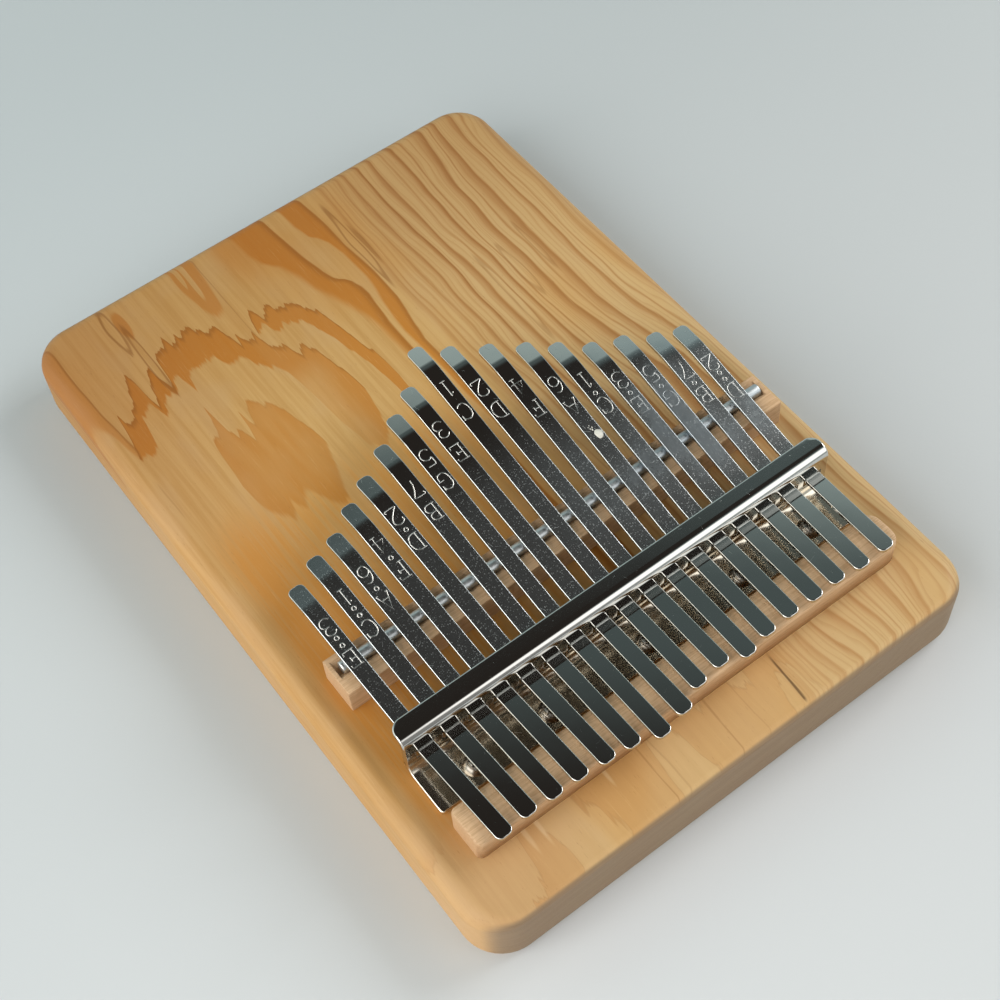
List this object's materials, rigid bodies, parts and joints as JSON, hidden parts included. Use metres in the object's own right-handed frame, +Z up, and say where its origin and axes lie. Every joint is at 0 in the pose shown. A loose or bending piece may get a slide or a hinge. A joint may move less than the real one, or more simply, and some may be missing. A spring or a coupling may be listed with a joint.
{
  "type": "thumb piano",
  "caption": "Flat wooden board thumb piano with a fan of plated steel keys held by a bent metal bracket between a saddle rod and a rear bridge.",
  "frame": {"origin": "centre of the board's underside", "axes": "+X across the keys from the first to the last, +Y along the keys from their tails to their tips, +Z up out of the board's face"},
  "size_m": [0.134, 0.19, 0.0349],
  "materials": {
    "board_wood": "satin oiled softwood",
    "bridge_wood": "bare sanded hardwood",
    "rod_steel": "bright plated",
    "bracket_plating": "bright plated",
    "screw_steel": "bright plated",
    "key_plating": "bright plated with fine scratches"
  },
  "bodies": {
    "base": {"board": "board_wood", "saddle": "bridge_wood", "saddle_rod": "rod_steel", "rear_bridge": "bridge_wood", "bracket": "bracket_plating", "screw_1": "screw_steel", "screw_2": "screw_steel", "screw_3": "screw_steel", "screw_4": "screw_steel", "screw_5": "screw_steel"},
    "shank_body_01": {"shank_01": "key_plating"},
    "tongue_body_01": {"tongue_01": "key_plating"},
    "shank_body_02": {"shank_02": "key_plating"},
    "tongue_body_02": {"tongue_02": "key_plating"},
    "shank_body_03": {"shank_03": "key_plating"},
    "tongue_body_03": {"tongue_03": "key_plating"},
    "shank_body_04": {"shank_04": "key_plating"},
    "tongue_body_04": {"tongue_04": "key_plating"},
    "shank_body_05": {"shank_05": "key_plating"},
    "tongue_body_05": {"tongue_05": "key_plating"},
    "shank_body_06": {"shank_06": "key_plating"},
    "tongue_body_06": {"tongue_06": "key_plating"},
    "shank_body_07": {"shank_07": "key_plating"},
    "tongue_body_07": {"tongue_07": "key_plating"},
    "shank_body_08": {"shank_08": "key_plating"},
    "tongue_body_08": {"tongue_08": "key_plating"},
    "shank_body_09": {"shank_09": "key_plating"},
    "tongue_body_09": {"tongue_09": "key_plating"},
    "shank_body_10": {"shank_10": "key_plating"},
    "tongue_body_10": {"tongue_10": "key_plating"},
    "shank_body_11": {"shank_11": "key_plating"},
    "tongue_body_11": {"tongue_11": "key_plating"},
    "shank_body_12": {"shank_12": "key_plating"},
    "tongue_body_12": {"tongue_12": "key_plating"},
    "shank_body_13": {"shank_13": "key_plating"},
    "tongue_body_13": {"tongue_13": "key_plating"},
    "shank_body_14": {"shank_14": "key_plating"},
    "tongue_body_14": {"tongue_14": "key_plating"},
    "shank_body_15": {"shank_15": "key_plating"},
    "tongue_body_15": {"tongue_15": "key_plating"},
    "shank_body_16": {"shank_16": "key_plating"},
    "tongue_body_16": {"tongue_16": "key_plating"},
    "shank_body_17": {"shank_17": "key_plating"},
    "tongue_body_17": {"tongue_17": "key_plating"}
  },
  "joints": [
    {"name": "tune_01", "type": "slide", "parent": "base", "child": "shank_body_01", "axis": [-0.0383, 0.998, 0.0499], "range_m": [-0.0012, 0.0012]},
    {"name": "pluck_01", "type": "hinge", "parent": "shank_body_01", "child": "tongue_body_01", "pos_m": [-0.05389, -0.02992, 0.02678], "axis": [0.9993, 0.0384, 0], "range_deg": [-4, 3], "stiffness_Nm_per_rad": 1.49},
    {"name": "tune_02", "type": "slide", "parent": "base", "child": "shank_body_02", "axis": [-0.0331, 0.9982, 0.0499], "range_m": [-0.0012, 0.0012]},
    {"name": "pluck_02", "type": "hinge", "parent": "shank_body_02", "child": "tongue_body_02", "pos_m": [-0.04698, -0.02991, 0.02678], "axis": [0.9995, 0.0332, 0], "range_deg": [-4, 3], "stiffness_Nm_per_rad": 1.28},
    {"name": "tune_03", "type": "slide", "parent": "base", "child": "shank_body_03", "axis": [-0.0314, 0.9983, 0.0499], "range_m": [-0.0012, 0.0012]},
    {"name": "pluck_03", "type": "hinge", "parent": "shank_body_03", "child": "tongue_body_03", "pos_m": [-0.04046, -0.02991, 0.02678], "axis": [0.9995, 0.0314, 0], "range_deg": [-4, 3], "stiffness_Nm_per_rad": 1.18},
    {"name": "tune_04", "type": "slide", "parent": "base", "child": "shank_body_04", "axis": [-0.0279, 0.9984, 0.0499], "range_m": [-0.0012, 0.0012]},
    {"name": "pluck_04", "type": "hinge", "parent": "shank_body_04", "child": "tongue_body_04", "pos_m": [-0.03379, -0.02991, 0.02678], "axis": [0.9996, 0.0279, 0], "range_deg": [-4, 3], "stiffness_Nm_per_rad": 1.02},
    {"name": "tune_05", "type": "slide", "parent": "base", "child": "shank_body_05", "axis": [-0.0261, 0.9984, 0.0499], "range_m": [-0.0012, 0.0012]},
    {"name": "pluck_05", "type": "hinge", "parent": "shank_body_05", "child": "tongue_body_05", "pos_m": [-0.02717, -0.02991, 0.02678], "axis": [0.9997, 0.0262, 0], "range_deg": [-4, 3], "stiffness_Nm_per_rad": 0.91},
    {"name": "tune_06", "type": "slide", "parent": "base", "child": "shank_body_06", "axis": [-0.0087, 0.9987, 0.0499], "range_m": [-0.0012, 0.0012]},
    {"name": "pluck_06", "type": "hinge", "parent": "shank_body_06", "child": "tongue_body_06", "pos_m": [-0.02016, -0.0299, 0.02678], "axis": [1, 0.0087, 0], "range_deg": [-4, 3], "stiffness_Nm_per_rad": 0.81},
    {"name": "tune_07", "type": "slide", "parent": "base", "child": "shank_body_07", "axis": [-0.0035, 0.9987, 0.0499], "range_m": [-0.0012, 0.0012]},
    {"name": "pluck_07", "type": "hinge", "parent": "shank_body_07", "child": "tongue_body_07", "pos_m": [-0.0136, -0.0299, 0.02678], "axis": [1, 0.0035, 0], "range_deg": [-4, 3], "stiffness_Nm_per_rad": 0.72},
    {"name": "tune_08", "type": "slide", "parent": "base", "child": "shank_body_08", "axis": [-0.0052, 0.9987, 0.0499], "range_m": [-0.0012, 0.0012]},
    {"name": "pluck_08", "type": "hinge", "parent": "shank_body_08", "child": "tongue_body_08", "pos_m": [-0.00691, -0.0299, 0.02678], "axis": [1, 0.0052, 0], "range_deg": [-4, 3], "stiffness_Nm_per_rad": 0.66},
    {"name": "tune_09", "type": "slide", "parent": "base", "child": "shank_body_09", "axis": [0.007, 0.9987, 0.0499], "range_m": [-0.0012, 0.0012]},
    {"name": "pluck_09", "type": "hinge", "parent": "shank_body_09", "child": "tongue_body_09", "pos_m": [-0.00003, -0.0299, 0.02678], "axis": [1, -0.007, 0], "range_deg": [-4, 3], "stiffness_Nm_per_rad": 0.57},
    {"name": "tune_10", "type": "slide", "parent": "base", "child": "shank_body_10", "axis": [0.0017, 0.9988, 0.0499], "range_m": [-0.0012, 0.0012]},
    {"name": "pluck_10", "type": "hinge", "parent": "shank_body_10", "child": "tongue_body_10", "pos_m": [0.00642, -0.0299, 0.02678], "axis": [1, -0.0017, 0], "range_deg": [-4, 3], "stiffness_Nm_per_rad": 0.61},
    {"name": "tune_11", "type": "slide", "parent": "base", "child": "shank_body_11", "axis": [0.0192, 0.9986, 0.0499], "range_m": [-0.0012, 0.0012]},
    {"name": "pluck_11", "type": "hinge", "parent": "shank_body_11", "child": "tongue_body_11", "pos_m": [0.01329, -0.0299, 0.02678], "axis": [0.9998, -0.0192, 0], "range_deg": [-4, 3], "stiffness_Nm_per_rad": 0.68},
    {"name": "tune_12", "type": "slide", "parent": "base", "child": "shank_body_12", "axis": [0.0296, 0.9983, 0.0499], "range_m": [-0.0012, 0.0012]},
    {"name": "pluck_12", "type": "hinge", "parent": "shank_body_12", "child": "tongue_body_12", "pos_m": [0.02017, -0.02991, 0.02678], "axis": [0.9996, -0.0297, 0], "range_deg": [-4, 3], "stiffness_Nm_per_rad": 0.75},
    {"name": "tune_13", "type": "slide", "parent": "base", "child": "shank_body_13", "axis": [0.0227, 0.9985, 0.0499], "range_m": [-0.0012, 0.0012]},
    {"name": "pluck_13", "type": "hinge", "parent": "shank_body_13", "child": "tongue_body_13", "pos_m": [0.02658, -0.02991, 0.02678], "axis": [0.9997, -0.0227, 0], "range_deg": [-4, 3], "stiffness_Nm_per_rad": 0.84},
    {"name": "tune_14", "type": "slide", "parent": "base", "child": "shank_body_14", "axis": [0.0209, 0.9985, 0.0499], "range_m": [-0.0012, 0.0012]},
    {"name": "pluck_14", "type": "hinge", "parent": "shank_body_14", "child": "tongue_body_14", "pos_m": [0.03322, -0.02991, 0.02678], "axis": [0.9998, -0.0209, 0], "range_deg": [-4, 3], "stiffness_Nm_per_rad": 0.96},
    {"name": "tune_15", "type": "slide", "parent": "base", "child": "shank_body_15", "axis": [0.0279, 0.9984, 0.0499], "range_m": [-0.0012, 0.0012]},
    {"name": "pluck_15", "type": "hinge", "parent": "shank_body_15", "child": "tongue_body_15", "pos_m": [0.04007, -0.02991, 0.02678], "axis": [0.9996, -0.0279, 0], "range_deg": [-4, 3], "stiffness_Nm_per_rad": 1.06},
    {"name": "tune_16", "type": "slide", "parent": "base", "child": "shank_body_16", "axis": [0.0331, 0.9982, 0.0499], "range_m": [-0.0012, 0.0012]},
    {"name": "pluck_16", "type": "hinge", "parent": "shank_body_16", "child": "tongue_body_16", "pos_m": [0.04683, -0.02991, 0.02678], "axis": [0.9995, -0.0332, 0], "range_deg": [-4, 3], "stiffness_Nm_per_rad": 1.21},
    {"name": "tune_17", "type": "slide", "parent": "base", "child": "shank_body_17", "axis": [0.0209, 0.9985, 0.0499], "range_m": [-0.0012, 0.0012]},
    {"name": "pluck_17", "type": "hinge", "parent": "shank_body_17", "child": "tongue_body_17", "pos_m": [0.05336, -0.02991, 0.02678], "axis": [0.9998, -0.0209, 0], "range_deg": [-4, 3], "stiffness_Nm_per_rad": 1.33}
  ]
}
